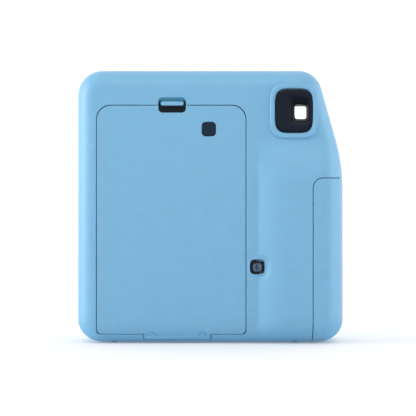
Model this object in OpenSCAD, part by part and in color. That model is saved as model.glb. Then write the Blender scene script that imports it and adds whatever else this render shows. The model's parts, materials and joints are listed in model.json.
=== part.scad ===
// Instant camera with a bottom-hinged film door, a sliding lens barrel and a motor-driven film exit.
// +X is the right-hand side seen from behind, +Y is the lens direction, +Z is up.
// The origin is the centre of the footprint, on the surface that the feet stand on.

/* [Body] */
// Width of the body
body_w = 123; // [120:0.5:126]
// Height of the body's top above the surface it stands on
body_h = 126.3; // [124:0.1:129]
// Y of the flat back of the body
back_y = -26.5; // [-26.5:0.1:-26.3]
// Y of the flat front of the body
front_y = 15; // [15:0.1:15.4]
// Thickness of the moulded shells
wall = 2; // [1.8:0.1:2]
// Radius that rounds the back and front edges
edge_r = 8.5; // [8:0.1:8.5]
// Height that the thumb grip stands out of the back
grip_h = 3.5; // [2:0.1:3.5]
// Height of the four small feet
foot_h = 0.7; // [0.4:0.1:1]

/* [Film door] */
// Left edge of the film door
door_left = -52.4; // [-52.6:0.1:-51.8]
// Right edge of the film door
door_right = 16.4; // [16:0.1:16.6]
// Bottom edge of the film door
door_bottom = 4.2; // [4.2:0.1:4.4]
// Top edge of the film door
door_top = 109.8; // [109.6:0.1:109.9]
// Gap around the moving covers
gap = 0.3; // [0.25:0.05:0.4]

/* [Lens] */
// X of the lens axis
lens_x = -18; // [-19:0.5:-17]
// Z of the lens axis
lens_z = 54; // [53:0.5:55]
// Outer radius of the sliding lens barrel
barrel_r = 23.2; // [23:0.1:23.2]
// Y of the front face of the retracted lens
lens_front_y = 30; // [29.5:0.1:30.5]

/* [Film drive] */
// Gear module
gear_m = 0.5; // [0.5:0.1:0.5]
// Radius of the two film rollers
roller_r = 4.4; // [4.3:0.05:4.45]
// Y of the plane in which the film leaves
film_y = -3; // [-3.1:0.1:-2.9]
// Z of the roller axes
roller_z = 112; // [112:0.1:112.5]

/* [Batteries] */
// Diameter of one AA cell
cell_d = 14.5; // [14:0.1:14.5]
// Length of one AA cell without its nub
cell_l = 49.5; // [49:0.1:49.5]
// X of the two cell axes
cell_x = 51; // [50.5:0.1:51.5]

/* [Hidden] */
$fn = 48;

blue = "#82b6da";
navy = "#20273a";
black = "#17191f";
steel = "#b9bec4";
white = "#e9ebee";
eps = 0.01;
far = 200;

// Outline of the body seen from behind: lines joined by tangent arcs
side_x = body_w / 2;
corner_low = 10.5;
corner_high = 11.5;
shoulder_r = 11;
shoulder_angle = 15.8;
shoulder_c = [side_x - 20.5, body_h - shoulder_r];
hip_r = 76;
hip_c = [side_x - hip_r, 72.7];

function arc(c, r, a0, a1, n) = [for (i = [0:n]) let (a = a0 + (a1 - a0) * i / n) c + r * [cos(a), sin(a)]];

function outline(inset) = concat(
  arc([side_x - corner_low, foot_h + corner_low], corner_low - inset, -90, 0, 7),
  arc(hip_c, hip_r - inset, 0, shoulder_angle, 4),
  arc(shoulder_c, shoulder_r - inset, shoulder_angle, 90, 6),
  arc([corner_high - side_x, body_h - corner_high], corner_high - inset, 90, 180, 7),
  arc([corner_low - side_x, foot_h + corner_low], corner_low - inset, 180, 270, 7)
);

function round_rect(w, h, r) = concat(
  arc([w / 2 - r, h / 2 - r], r, 0, 90, 5),
  arc([r - w / 2, h / 2 - r], r, 90, 180, 5),
  arc([r - w / 2, r - h / 2], r, 180, 270, 5),
  arc([w / 2 - r, r - h / 2], r, 270, 360, 5)
);

module block(lo, hi) {
  translate(lo) cube(hi - lo);
}

// Prism of an outline drawn in X and Z, from y0 to y1
module prism_y(points, y0, y1) {
  translate([0, y1, 0]) rotate([90, 0, 0]) linear_extrude(y1 - y0) polygon(points);
}

module plate_y(c, w, h, r, y0, y1) {
  translate([c[0], 0, c[1]]) prism_y(round_rect(w, h, r), y0, y1);
}

module rod_y(c, r, y0, y1) {
  translate([c[0], y1, c[1]]) rotate([90, 0, 0]) cylinder(h = y1 - y0, r = r);
}

// Rod along X at c = [y, z]
module rod_x(c, r, x0, x1) {
  translate([x0, c[0], c[1]]) rotate([0, 90, 0]) cylinder(h = x1 - x0, r = r);
}

// Solid of revolution about a line along Y; the profile is [radius, y]
module turned(c, profile) {
  translate([c[0], 0, c[1]]) rotate([-90, 0, 0]) rotate_extrude($fn = 96) polygon(profile);
}

// Round wire coil along +Z from the origin
module coil(r, wire_r, height, turns) {
  steps = 14;
  sides = 6;
  n = turns * steps;
  points = [for (i = [0:n], j = [0:sides - 1])
    let (a = 360 * i / steps, b = 360 * j / sides, q = r + wire_r * cos(b))
    [q * cos(a), q * sin(a), wire_r + (height - 2 * wire_r) * i / n + wire_r * sin(b)]];
  skin = [for (i = [0:n - 1], j = [0:sides - 1])
    let (k = (j + 1) % sides) [i * sides + j, (i + 1) * sides + j, (i + 1) * sides + k, i * sides + k]];
  caps = [[for (j = [0:sides - 1]) j], [for (j = [sides - 1:-1:0]) n * sides + j]];
  polyhedron(points = points, faces = concat(skin, caps), convexity = 8);
}

// Whole outer form of the body, grown or shrunk evenly
fillet_steps = 5;
module body_form(inset) {
  r = edge_r - inset;
  hull() {
    for (i = [0:fillet_steps]) {
      a = 90 * i / fillet_steps;
      d = inset + r * (1 - sin(a));
      prism_y(outline(d), back_y + edge_r - r * cos(a), back_y + edge_r - r * cos(a) + eps);
      prism_y(outline(d), front_y - edge_r + r * cos(a) - eps, front_y - edge_r + r * cos(a));
    }
  }
}

// Thumb grip: a raised pad right of the crease, inside the body's own outline
crease_x = 22.3;
module grip_layer(inset, y, left, top) {
  intersection() {
    prism_y(outline(inset), y, y + eps);
    block([left, -far, -far], [far, far, top]);
  }
}

module grip_form(inset) {
  hull() {
    grip_layer(1.4 + inset, back_y + 4.5, crease_x + inset, 92 - inset);
    grip_layer(5.5 + inset, back_y + inset, crease_x + inset, 89 - inset);
    grip_layer(9.5 + inset, back_y - grip_h + inset, 35, 76);
  }
}

// Merges a shell and its ribs into one closed skin before any round bore is cut
module one_skin() {
  resize([0, 0, 0]) children();
}

module shell(y0, y1) {
  difference() {
    intersection() {
      body_form(0);
      block([-far, y0, -far], [far, y1, far]);
    }
    body_form(wall);
  }
}

module grip_shell() {
  difference() {
    grip_form(0);
    grip_form(wall);
    body_form(0.5);
  }
}

split_y = 3.5;
hinge = [-22.6, 3.6];
pin_r = 0.6;
running = 0.05;
tab_left = -30.6;
tab_right = 0.1;
knuckle_r = 2.15;
cove_r = 2.35;
counter_c = [21.6, 35.4];
dial_c = [30.75, 35.4];
dial_r = 12;
finder_c = [38.4, 107.2];
opening_c = [41.55, 106.8];
latch_c = [-17.6, 109.9];
latch_w = 12.7;
latch_h = 7;
film_window_c = [-0.7, 98.8];
battery_edge_x = 47.1;
battery_edge_z = 76.3;
screws = [[-44, 105.1], [8, 105.1]];
button_c = [47.5, 83];
slot_x = [-46.5, 10.5];

// The door's own lower corners are rounder, so that they clear the case as the door turns
function door_outline(g) = let (
  l = door_left + g, r = door_right - g, b = door_bottom + g, t = door_top - g, low = g > 0 ? 2.2 : 1.5
) concat(
  arc([r - low, b + low], low, -90, 0, 3),
  arc([r - 6.5, t - 6.5], 6.5, 0, 90, 6),
  arc([l + 6.5, t - 6.5], 6.5, 90, 180, 6),
  arc([l + low, b + low], low, 180, 270, 3)
);

function cover_outline(g) = concat(
  [[battery_edge_x + g, -1], [side_x + 10, -1], [side_x + 10, battery_edge_z - g]],
  arc([battery_edge_x + 4.6, battery_edge_z - 4.6], 4.6 - g, 90, 180, 5)
);

// Case -----------------------------------------------------------------

module rear_case_skin() {
  difference() {
    union() {
      shell(-far, split_y);
      grip_shell();
      plate_y(finder_c, 22.2, 25.1, 6.5, back_y - 1.5, back_y + wall);
      // ledge behind the sides and the top of the film door
      difference() {
        block([door_left - 2, back_y + 1.9, 9], [door_right + 1.8, back_y + 3.9, door_top + 2]);
        block([door_left + 2, back_y, 0], [door_right - 2.2, back_y + 5, door_top - 2.4]);
      }
      // closed well behind the thumb latch
      translate([latch_c[0] - 8.5, back_y + 1.9, door_top - 2.4]) cube([17, 2.9, 8]);
      for (c = screws) block([c[0] - 3, back_y + 2.3, c[1] - 2.4], [c[0] + 3, back_y + 3.9, door_top]);
    }
    prism_y(door_outline(-gap / 2), -far, back_y + 2.25);
    prism_y([for (p = door_outline(-gap / 2)) [p[0], min(p[1], 9)]], -far, back_y + edge_r);
    prism_y(cover_outline(-gap / 2), -far, far);
    rod_x(hinge, cove_r, tab_left - 0.3, tab_right + 0.3);
    plate_y(latch_c, latch_w, latch_h, 1.9, -far, back_y + 3.6);
    block([latch_c[0] - 6.3, back_y, 100], [latch_c[0] + 6.3, back_y + 3.6, latch_c[1]]);
    plate_y(finder_c, 17.4, 20.3, 3.6, -far, back_y + 5);
    plate_y(counter_c, 6.8, 6.9, 2, -far, back_y + 5);
    plate_y(counter_c, 12, 13, 5, -far, back_y);
    block([slot_x[0] - 1.6, film_y - 4.6, 120], [slot_x[1] + 1.6, film_y + 4.6, far]);
    for (c = screws) rod_y(c, 0.95, -far, 0);
    for (c = screws) rod_y(c, 1.7, -far, back_y + 3.6);
  }
}

module rear_case() {
  color(blue)
  difference() {
    one_skin() union() {
      rear_case_skin();
      // bosses for the ends of the hinge pin
      rod_x(hinge, 1.15, tab_left - 3.4, tab_left - 0.5);
      rod_x(hinge, 1.15, tab_right + 0.5, tab_right + 3.4);
    }
    rod_x(hinge, pin_r, tab_left - 4, tab_right + 4);
  }
}

module front_case() {
  color(blue)
  one_skin() difference() {
    union() {
      shell(split_y, far);
      for (c = screws) rod_y(c, 2, back_y + 4.1, front_y - 1);
      plate_y(button_c, 19, 19, 9.4, front_y - 6, front_y - 1);
    }
    prism_y(cover_outline(-gap / 2), -far, far);
    rod_y([lens_x, lens_z], barrel_r + 2, 0, far);
    rod_y(button_c, 7.3, 0, far);
    plate_y([lens_x, 107], 27, 15, 3, 0, far);
    plate_y([8.5, 93], 10, 6, 2.9, 0, far);
    plate_y(opening_c, 13, 12, 2, 0, far);
    for (c = screws) rod_y(c, 0.95, -far, 6);
  }
}

module feet() {
  color(blue)
  for (x = [-45, 39.2], y = [-13, 2]) translate([x, y, 0]) cylinder(h = foot_h, r = 1.4);
}

module case_screws() {
  color(steel)
  for (c = screws) {
    difference() {
      union() {
        rod_y(c, 1.6, back_y + 2.4, back_y + 3.6);
        rod_y(c, 0.9, back_y + 3.6, 5);
      }
      block([c[0] - 0.2, back_y, c[1] - 1.1], [c[0] + 0.2, back_y + 2.9, c[1] + 1.1]);
      block([c[0] - 1.1, back_y, c[1] - 0.2], [c[0] + 1.1, back_y + 2.9, c[1] + 0.2]);
    }
  }
}

// Film compartment ---------------------------------------------------------

pack_x = [-48.5, 12.5];
pack_z = [8.2, 101.2];
pack_y = [-22, film_y + 0.5];
thin = 1.2;

module film_chamber() {
  color(black)
  difference() {
    block([pack_x[0] - thin, pack_y[0], pack_z[0] - thin], [pack_x[1] + thin, pack_y[1], pack_z[1] + thin]);
    block([pack_x[0], -far, pack_z[0]], [pack_x[1], far, pack_z[1]]);
    block([slot_x[0], film_y - 1, 90], [slot_x[1], film_y + 0.4, far]);
  }
}

module film_gate() {
  color(black)
  difference() {
    translate([pack_x[0] - thin, pack_y[1], pack_z[0] - thin])
      cube([pack_x[1] - pack_x[0] + 2 * thin, thin, pack_z[1] - pack_z[0] + 2 * thin]);
    block([lens_x - 23.5, -far, lens_z - 31.5], [lens_x + 23.5, far, lens_z + 31.5]);
  }
}

module light_cone() {
  color(black)
  difference() {
    hull() {
      block([lens_x - 25.5, film_y + 1.8, lens_z - 33.5], [lens_x + 25.5, film_y + 1.9, lens_z + 33.5]);
      rod_y([lens_x, lens_z], 22.5, film_y + 6, film_y + 6.3, $fn = 32);
    }
    hull() {
      block([lens_x - 24, film_y + 1.5, lens_z - 32], [lens_x + 24, film_y + 1.7, lens_z + 32]);
      rod_y([lens_x, lens_z], 21, film_y + 6.4, film_y + 6.6, $fn = 32);
    }
  }
}

// Film door ----------------------------------------------------------------

module back_cover() {
  color(blue)
  difference() {
    union() {
      difference() {
        intersection() {
          body_form(0);
          prism_y(door_outline(gap / 2), -far, back_y + 4);
        }
        body_form(wall);
      }
      intersection() {
        body_form(0);
        rod_x(hinge, knuckle_r, tab_left, tab_right);
      }
      block([-20.5, back_y + 1.9, 95.6], [-14.5, back_y + 4, 96.6]);
    }
    rod_x(hinge, cove_r + 0.1, -far, tab_left);
    rod_x(hinge, cove_r + 0.1, tab_right, far);
    rod_x(hinge, pin_r + running, -far, far);
    plate_y(latch_c, latch_w, latch_h, 1.9, -far, far);
    plate_y(film_window_c, 6.6, 6.7, 1.9, -far, far);
  }
}

module back_cover_inner() {
  color(black)
  difference() {
    block([-46, back_y + 2, 12], [10, back_y + 3, 95.2]);
    for (x = [-33, -3], z = [24, 84]) rod_y([x, z], 0.8, -far, far);
  }
}

module pack_springs() {
  color(steel)
  for (x = [-33, -3]) {
    // a bowed leaf, fixed at its lower end
    translate([x - 4, 0, 0]) rotate([90, 0, 90]) linear_extrude(8) polygon([
      [back_y + 3, 22], [back_y + 3.3, 22], [back_y + 3.3, 27], [back_y + 4.5, 44], [back_y + 4.5, 64],
      [back_y + 3.3, 81], [back_y + 3.3, 86], [back_y + 3, 86], [back_y + 3, 81], [back_y + 4.2, 64],
      [back_y + 4.2, 44], [back_y + 3, 27]]);
    for (z = [24, 84]) rod_y([x, z], 0.75, back_y + 2.1, back_y + 3.1);
  }
}

module film_window() {
  color(navy)
  plate_y(film_window_c, 6.5, 6.6, 1.85, back_y + 0.4, back_y + 1.4);
}

module door_hinge_pin() {
  color(steel)
  rod_x(hinge, pin_r, tab_left - 3.4, tab_right + 3.4);
}

module door_latch() {
  color(blue)
  union() {
    plate_y([latch_c[0], latch_c[1] + 0.3], 10.7, 2.85, 1, back_y + 0.3, back_y + 2.2);
    block([latch_c[0] - 3, back_y + 2.1, 103], [latch_c[0] + 3, back_y + 3.4, latch_c[1] + 0.2]);
    block([latch_c[0] - 6, back_y + 2.4, 102.5], [latch_c[0] + 6, back_y + 3.4, 104.6]);
  }
}

module latch_spring() {
  color(steel)
  translate([latch_c[0], back_y + 3.1, 96.7]) coil(0.75, 0.2, 5.7, 6);
}

// Batteries ------------------------------------------------------------------

cell_y = [-15.5, 0];
cell_z = 10;

module battery_cover() {
  color(blue)
  union() {
    difference() {
      intersection() {
        body_form(0);
        prism_y(cover_outline(gap / 2), -far, far);
      }
      body_form(wall);
    }
    intersection() {
      grip_shell();
      prism_y(cover_outline(gap / 2), -far, far);
    }
  }
}

module battery_holder() {
  color(black)
  union() {
    block([42.4, -22.3, 7], [43.6, 8.4, 65.2]);
    block([42.4, -22.3, 7], [55.5, 8.4, 8.2]);
    block([42.4, -22.3, 64], [55.5, 8.4, 65.2]);
    block([43.2, -8, 8], [49.5, -7.5, 63.3]);
  }
}

module battery_contacts() {
  color(steel)
  union() {
    block([45, -21.5, 8.25], [55.4, -9, 8.65]);
    block([45, -6.5, 8.25], [55.4, 6.5, 8.65]);
    block([45, -21.5, 63.5], [55.4, 6.5, 63.9]);
    // the sprung negative ends
    translate([cell_x, cell_y[0], 8.6]) cylinder(h = 1.3, r1 = 4.4, r2 = 2.6);
    translate([cell_x, cell_y[1], 59.7]) cylinder(h = 3.9, r1 = 2.6, r2 = 4.4);
    for (p = [[cell_y[0], 60.6, 63.6], [cell_y[1], 8.6, 8.9]]) {
      translate([cell_x, p[0], p[1]]) cylinder(h = p[2] - p[1], r = 3.2);
    }
  }
}

module cell(y, up) {
  nub = up ? cell_z + cell_l : cell_z - 1;
  union() {
    translate([cell_x, y, cell_z]) cylinder(h = cell_l, d = cell_d);
    translate([cell_x, y, nub]) cylinder(h = 1, r = 2.7);
  }
}

module battery_1() {
  color("#b98a45") cell(cell_y[0], true);
}

module battery_2() {
  color("#b98a45") cell(cell_y[1], false);
}

// Viewfinder -------------------------------------------------------------------

module eyepiece_panel() {
  color(navy)
  difference() {
    plate_y(finder_c, 17.2, 20.2, 3.5, back_y - 1, back_y + 1);
    plate_y([opening_c[0] - 0.1, opening_c[1] + 0.25], 8.85, 10.8, 1.9, -far, far);
  }
}

module eyepiece_frame() {
  color(black)
  difference() {
    plate_y([opening_c[0] - 0.1, opening_c[1] + 0.25], 8.75, 10.7, 1.85, back_y - 0.8, back_y + 0.8);
    plate_y(opening_c, 5.5, 6.7, 0.9, -far, far);
  }
}

module eyepiece_lens() {
  color("#cfe0ea", 0.4)
  plate_y(opening_c, 7.4, 8.6, 1, back_y + 1.2, back_y + 2.2);
}

module viewfinder_tube() {
  color(black)
  difference() {
    plate_y(opening_c, 10.8, 10.8, 1.4, back_y + 2.3, front_y - 2.1);
    plate_y(opening_c, 9.4, 9.4, 1, -far, far);
  }
}

module viewfinder_objective() {
  color("#cfe0ea", 0.4)
  plate_y(opening_c, 9.2, 9.2, 1, front_y - 4, front_y - 2.4);
}

module viewfinder_window() {
  color("#cfe0ea", 0.4)
  plate_y(opening_c, 12.8, 11.8, 1.9, front_y - 1.6, front_y - 0.4);
}

// Film counter -----------------------------------------------------------------

module counter_window() {
  color(navy)
  plate_y(counter_c, 6.7, 6.8, 1.95, back_y + 0.3, back_y + 1.3);
}

module counter_dial() {
  color(black)
  difference() {
    rod_y(dial_c, dial_r, back_y + 2.4, back_y + 3.4);
    rod_y(dial_c, 1.2 + running, -far, far);
    for (i = [0:11]) rod_y(dial_c + (dial_r + 0.3) * [cos(30 * i + 15), sin(30 * i + 15)], 0.9, -far, far);
  }
}

module counter_bracket() {
  color(black)
  union() {
    rod_y(dial_c, 1.2, back_y + 2.2, back_y + 5);
    block([dial_c[0] - 10, back_y + 4.6, dial_c[1] - 5], [dial_c[0] + 10, back_y + 5.8, dial_c[1] + 5]);
  }
}

// Lens ---------------------------------------------------------------------------

lens_c = [lens_x, lens_z];
lens_fit = 0.1;
base_in = barrel_r + lens_fit;
base_out = barrel_r + 1.8;
blade_pivot = [lens_x + 7.8, lens_z - 7.8];

module lens_base() {
  color(white)
  turned(lens_c, [
    [base_in, 3.6], [base_out, 3.6], [base_out, front_y], [31, front_y], [31, front_y + 2.6],
    [30, front_y + 3.6], [base_out, front_y + 3.6], [base_out, 25.9], [base_in, 25.9]]);
}

module lens_ring() {
  ring_r = 30;
  color(blue)
  translate([lens_x, 25.6, lens_z]) rotate([90, 0, 0]) linear_extrude(6.7) difference() {
    polygon([for (i = [0:179]) (ring_r - 0.5 * pow(cos(15 * 2 * i), 8)) * [cos(2 * i), sin(2 * i)]]);
    circle(r = base_out + lens_fit, $fn = 96);
  }
}

module lens_barrel() {
  color(white)
  turned(lens_c, [
    [barrel_r - 2, 4], [barrel_r, 4], [barrel_r, lens_front_y - 2], [barrel_r - 2, lens_front_y - 2]]);
}

module lens_bezel() {
  color(black)
  difference() {
    turned(lens_c, [
      [8.2, 23.5], [11, 23.5], [11, 26], [barrel_r - 2.1, 26], [barrel_r - 2.1, lens_front_y - 2],
      [barrel_r, lens_front_y - 2], [barrel_r, lens_front_y - 0.8], [barrel_r - 0.8, lens_front_y],
      [13, lens_front_y], [9.6, 28], [8.2, 28]]);
    rod_y([lens_x - 12, lens_z + 12], 4.1, lens_front_y - 1, far);
  }
}

module front_lens() {
  color("#9fb6c8", 0.5)
  turned(lens_c, [[0, 24], [8.1, 24], [8.1, 26.4], [6.2, 27.1], [4, 27.6], [2, 27.9], [0, 28]]);
}

module rear_lens() {
  color("#9fb6c8", 0.5)
  turned(lens_c, [[0, 13], [2, 13.1], [4, 13.5], [6, 14.2], [6, 16], [0, 16]]);
}

module selfie_mirror() {
  color("silver")
  turned([lens_x - 12, lens_z + 12], [
    [0, lens_front_y - 0.95], [4, lens_front_y - 0.95], [4, lens_front_y - 0.5], [2.2, lens_front_y - 0.2],
    [0, lens_front_y - 0.1]]);
}

module shutter_plate() {
  color(black)
  difference() {
    union() {
      turned(lens_c, [
        [4, 16.2], [6.1, 16.2], [6.1, 13], [7.6, 13], [7.6, 16.8], [barrel_r - 2.05, 16.8],
        [barrel_r - 2.05, 18.2], [4, 18.2]]);
      rod_y(blade_pivot, 0.8, 18, 19.6);
    }
    rod_y(lens_c, 4, 0, 18.5);
  }
}

module shutter_blade() {
  color(steel)
  difference() {
    union() {
      rod_y(lens_c, 4.8, 18.6, 19);
      rod_y(blade_pivot, 2, 18.6, 19);
      translate([blade_pivot[0], 0, blade_pivot[1]]) rotate([0, -135, 0])
        block([0, 18.6, -1.6], [9, 19, 1.6]);
    }
    rod_y(blade_pivot, 0.8 + running, 0, far);
  }
}

// Shutter release --------------------------------------------------------------

module shutter_button() {
  color(white)
  turned(button_c, [
    [0, 2.9], [1.5, 2.9], [1.5, 8], [7, 8], [7, 15.6], [6.4, 16.6], [5, 17], [0, 17]]);
}

module button_spring() {
  color(steel)
  translate([button_c[0], 3.45, button_c[1]]) rotate([-90, 0, 0]) coil(2.5, 0.25, 4.5, 5);
}

module button_bracket() {
  color(black)
  difference() {
    block([button_c[0] - 6, 2.2, button_c[1] - 5], [button_c[0] + 6, 3.4, button_c[1] + 5]);
    rod_y(button_c, 1.9, 0, far);
  }
}

module release_switch() {
  color(black)
  union() {
    block([button_c[0] - 3, -3.4, button_c[1] - 3], [button_c[0] + 3, 0.6, button_c[1] + 3]);
    rod_y(button_c, 1.2, 0.5, 1.2);
  }
}

// Flash and electronics ---------------------------------------------------------

module flash_window() {
  color(white, 0.6)
  plate_y([lens_x, 107], 26.8, 14.8, 2.9, front_y - 1.6, front_y + 0.2);
}

module flash_reflector() {
  color("silver")
  translate([lens_x - 12, 0, 107]) rotate([90, 0, 90]) linear_extrude(24) difference() {
    polygon([[6.9, -2.6], [8.6, -4.8], [13.2, -6.8], [13.2, 6.8], [8.6, 4.8], [6.9, 2.6]]);
    polygon([[7.7, -2], [9.2, -4], [13.3, -6], [13.3, 6], [9.2, 4], [7.7, 2]]);
  }
}

module flash_tube() {
  color("#dfe8ee", 0.6)
  rod_x([9.4, 107], 1.2, lens_x - 13, lens_x + 13);
}

module flash_capacitor() {
  color("#3a4664")
  union() {
    translate([29, -11, 50]) cylinder(h = 26, r = 6.3);
    for (x = [27, 31]) translate([x, -11, 47.5]) cylinder(h = 2.6, r = 0.4);
  }
}

module main_board() {
  color("#2f6b46")
  union() {
    block([17, 9, 14], [41, 10.6, 76]);
    for (p = [[20, 20], [20, 44], [31, 30]]) block([p[0], 7.4, p[1]], [p[0] + 8, 9.1, p[1] + 9]);
    for (z = [58, 66]) rod_y([24, z], 2.5, 3.5, 9.1);
  }
}

module sensor_window() {
  color(navy)
  plate_y([8.5, 93], 9.8, 5.8, 2.8, front_y - 1.6, front_y - 0.3);
}

// Film drive -----------------------------------------------------------------------

roller_teeth = 18;
idler_teeth = 36;
pinion_teeth = 10;
mesh_play = 0.05;
backlash = 0.12;
roller_pitch_r = gear_m * roller_teeth / 2;
roller_y = film_y + roller_pitch_r + mesh_play / 2;
pressure_y = film_y - roller_pitch_r - mesh_play / 2;
idler_z = roller_z - gear_m * (roller_teeth + idler_teeth) / 2 - mesh_play;
motor_z = idler_z - gear_m * (idler_teeth + pinion_teeth) / 2 - mesh_play;
shaft_r = 1.5;
gear_x = [14.3, 16.3];

// Half the angle of a tooth at radius r, for an involute with a 20 degree pressure angle
function involute_angle(a) = tan(a) * 180 / PI - a;
function half_tooth(teeth, r) = let (p = gear_m * teeth / 2, base = p * cos(20))
  (PI * gear_m / 2 - backlash) / (2 * p) * 180 / PI + involute_angle(20)
  - (r > base ? involute_angle(acos(base / r)) : 0);

module gear(teeth, c, x0, x1, bore) {
  p = gear_m * teeth / 2;
  radii = [p - 1.2 * gear_m, p - 0.5 * gear_m, p, p + 0.5 * gear_m, p + 0.95 * gear_m];
  up = [for (r = radii) [r, -half_tooth(teeth, r)]];
  down = [for (i = [len(radii) - 1:-1:0]) [radii[i], half_tooth(teeth, radii[i])]];
  tooth = concat(up, down);
  translate([x0, c[0], c[1]]) rotate([90, 0, 90]) linear_extrude(x1 - x0) difference() {
    polygon([for (k = [0:teeth - 1], q = tooth) let (a = 360 * k / teeth + q[1]) q[0] * [cos(a), sin(a)]]);
    circle(r = bore);
  }
}

module motor() {
  color(steel)
  difference() {
    union() {
      intersection() {
        rod_x([roller_y, motor_z], 7.5, 18.7, 38);
        block([18, roller_y - 6.2, 70], [39, roller_y + 6.2, 100]);
      }
      rod_x([roller_y, motor_z], 2.6, 17.4, 18.8);
    }
    rod_x([roller_y, motor_z], 1 + running, 0, 26);
  }
}

module motor_pinion() {
  color("#c9a45c")
  union() {
    gear(pinion_teeth, [roller_y, motor_z], gear_x[0], gear_x[1], 0.9);
    rod_x([roller_y, motor_z], 1, gear_x[0], 25);
  }
}

module idler_gear() {
  color(white)
  gear(idler_teeth, [roller_y, idler_z], gear_x[0], gear_x[1], shaft_r + running);
}

module idler_shaft() {
  color(steel)
  rod_x([roller_y, idler_z], shaft_r, pack_x[1] + thin, 18.4);
}

module film_roller(y) {
  union() {
    rod_x([y, roller_z], roller_r, slot_x[0], slot_x[1]);
    rod_x([y, roller_z], shaft_r, slot_x[0] - 2.6, 18.4);
  }
}

module drive_roller() {
  color(steel) film_roller(roller_y);
}

module drive_roller_gear() {
  color(white) gear(roller_teeth, [roller_y, roller_z], gear_x[0], gear_x[1], shaft_r);
}

module pressure_roller() {
  color(steel) film_roller(pressure_y);
}

// The meshing tooth sits half a pitch round from the drive roller's gear
module pressure_roller_gear() {
  color(white)
  translate([0, pressure_y, roller_z]) rotate([180 / roller_teeth, 0, 0])
    gear(roller_teeth, [0, 0], gear_x[0], gear_x[1], shaft_r);
}

module roller_frame() {
  color(black)
  difference() {
    union() {
      block([slot_x[0] - 2.5, -14, 105.5], [slot_x[0] - 0.5, 7.4, 118.6]);
      block([slot_x[1] + 0.5, -14, 105.5], [slot_x[1] + 2.5, 7.4, 118.6]);
      block([slot_x[0] - 2.5, 5.8, 117], [slot_x[1] + 2.5, 7.4, 118.6]);
    }
    rod_x([roller_y, roller_z], shaft_r + running, -far, far);
    rod_x([pressure_y, roller_z], shaft_r + running, -far, far);
  }
}

module gear_plate() {
  color(steel)
  difference() {
    block([17.2, -12.5, 79], [18.4, 11.4, 118.6]);
    for (p = [[roller_y, roller_z], [pressure_y, roller_z], [roller_y, idler_z]])
      rod_x(p, shaft_r + running, 0, far);
    rod_x([roller_y, motor_z], 2.65, 0, far);
  }
}

// Film exit --------------------------------------------------------------------------

module film_exit_trim() {
  color(black)
  difference() {
    union() {
      block([slot_x[0] - 1.5, film_y - 4.5, body_h - 2.2], [slot_x[1] + 1.5, film_y + 4.5, body_h - 0.1]);
      for (x = [slot_x[0] - 1.5, slot_x[1] + 0.6])
        block([x, film_y - 5.4, 120.6], [x + 0.9, film_y - 2.6, body_h - 2]);
    }
    block([slot_x[0] + 0.5, film_y - 2.5, 120], [slot_x[1] - 0.5, film_y + 2.5, far]);
    rod_x(flap_hinge, 0.8 + running, -far, far);
  }
}

flap_hinge = [film_y - 4, 122];

module exit_flap() {
  color(black)
  union() {
    rod_x(flap_hinge, 0.8, slot_x[0] - 1.3, slot_x[1] + 1.3);
    block([slot_x[0] + 0.7, film_y - 4, 121.7], [slot_x[1] - 0.7, film_y + 2.4, 122.3]);
  }
}

rear_case();
front_case();
feet();
case_screws();
film_chamber();
film_gate();
light_cone();
back_cover();
back_cover_inner();
pack_springs();
film_window();
door_hinge_pin();
door_latch();
latch_spring();
battery_cover();
battery_holder();
battery_contacts();
battery_1();
battery_2();
eyepiece_panel();
eyepiece_frame();
eyepiece_lens();
viewfinder_tube();
viewfinder_objective();
viewfinder_window();
counter_window();
counter_dial();
counter_bracket();
lens_base();
lens_ring();
lens_barrel();
lens_bezel();
front_lens();
rear_lens();
selfie_mirror();
shutter_plate();
shutter_blade();
shutter_button();
button_spring();
button_bracket();
release_switch();
flash_window();
flash_reflector();
flash_tube();
flash_capacitor();
main_board();
sensor_window();
motor();
motor_pinion();
idler_gear();
idler_shaft();
drive_roller();
drive_roller_gear();
pressure_roller();
pressure_roller_gear();
roller_frame();
gear_plate();
film_exit_trim();
exit_flap();
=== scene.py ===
"""Instant camera: moulded skins, small parts, materials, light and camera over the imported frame."""

import json
from math import asin, cos, degrees, pi, radians, sin

import bpy
import numpy as np
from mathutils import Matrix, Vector
from mathutils.geometry import delaunay_2d_cdt


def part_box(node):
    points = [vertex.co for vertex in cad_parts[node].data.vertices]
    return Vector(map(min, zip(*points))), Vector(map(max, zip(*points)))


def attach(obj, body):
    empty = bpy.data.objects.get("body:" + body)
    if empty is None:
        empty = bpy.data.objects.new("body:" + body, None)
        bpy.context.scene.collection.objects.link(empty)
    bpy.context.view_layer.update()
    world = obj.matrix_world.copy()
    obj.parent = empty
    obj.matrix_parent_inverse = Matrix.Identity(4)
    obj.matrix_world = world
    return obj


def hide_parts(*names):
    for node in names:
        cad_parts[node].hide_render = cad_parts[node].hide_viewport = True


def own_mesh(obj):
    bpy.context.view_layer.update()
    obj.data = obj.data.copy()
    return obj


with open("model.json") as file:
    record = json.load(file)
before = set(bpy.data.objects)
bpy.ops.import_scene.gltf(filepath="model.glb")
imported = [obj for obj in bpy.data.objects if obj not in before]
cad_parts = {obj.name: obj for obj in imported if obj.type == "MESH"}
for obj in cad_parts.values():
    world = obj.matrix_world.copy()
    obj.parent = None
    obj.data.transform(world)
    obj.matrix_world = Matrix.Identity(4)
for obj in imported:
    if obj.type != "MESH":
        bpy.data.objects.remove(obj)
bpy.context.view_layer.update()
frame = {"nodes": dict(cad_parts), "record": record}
NODES = frame["nodes"]
MM = 0.001


def box_mm(node):
    lo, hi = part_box(node)
    return np.array(lo) / MM, np.array(hi) / MM


def centre_xz(node):
    lo, hi = box_mm(node)
    return (lo[[0, 2]] + hi[[0, 2]]) / 2


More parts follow.
